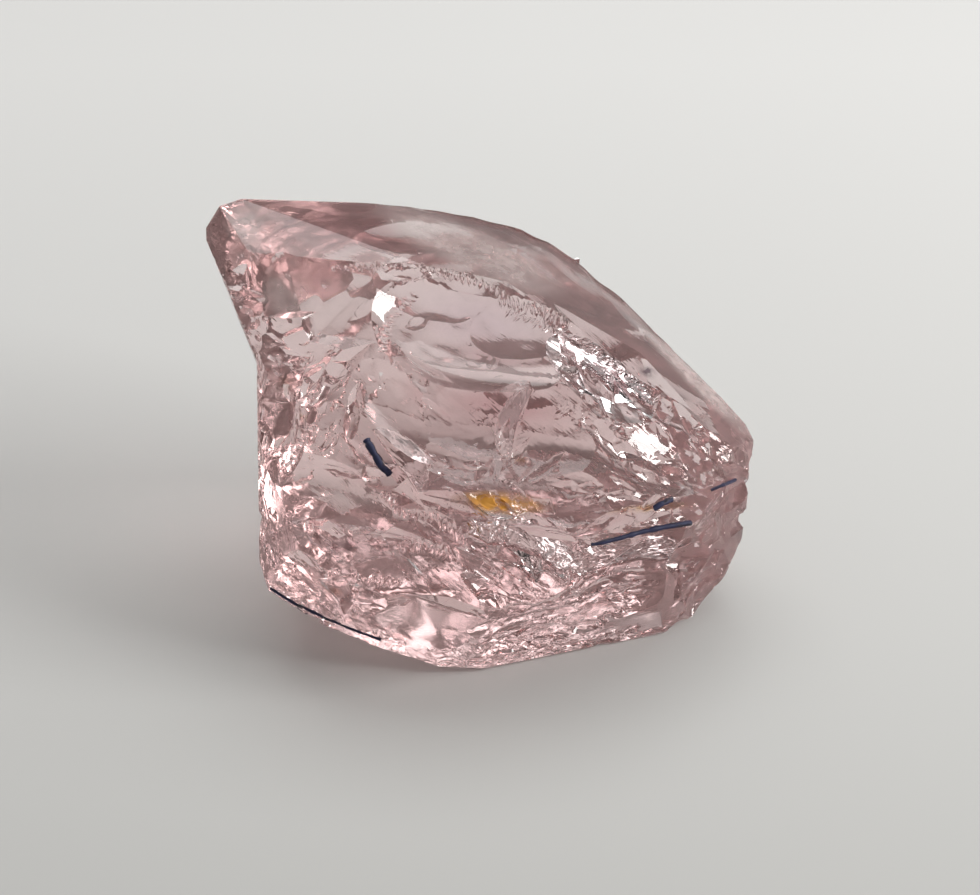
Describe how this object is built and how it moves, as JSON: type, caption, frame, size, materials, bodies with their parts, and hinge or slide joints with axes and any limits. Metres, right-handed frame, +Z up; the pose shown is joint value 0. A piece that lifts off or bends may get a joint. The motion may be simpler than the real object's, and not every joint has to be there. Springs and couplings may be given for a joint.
{
  "type": "rough tourmaline",
  "caption": "Rough pink tourmaline, a clear crystal fragment with smooth upper faces, an overhanging horn and a broken front of shell-shaped hollows and ledges, resting on a flat.",
  "frame": {"origin": "centre of the bounding box's bottom, on the plane the stone rests on", "axes": "+Z up, +X along the stone's length with the horn at the -X end, -Y to the broken front"},
  "size_m": [0.0152, 0.0114, 0.0095],
  "materials": {
    "clear_pink": "clear pink, glossy"
  },
  "bodies": {
    "root": {"tourmaline": "clear_pink"}
  },
  "joints": []
}
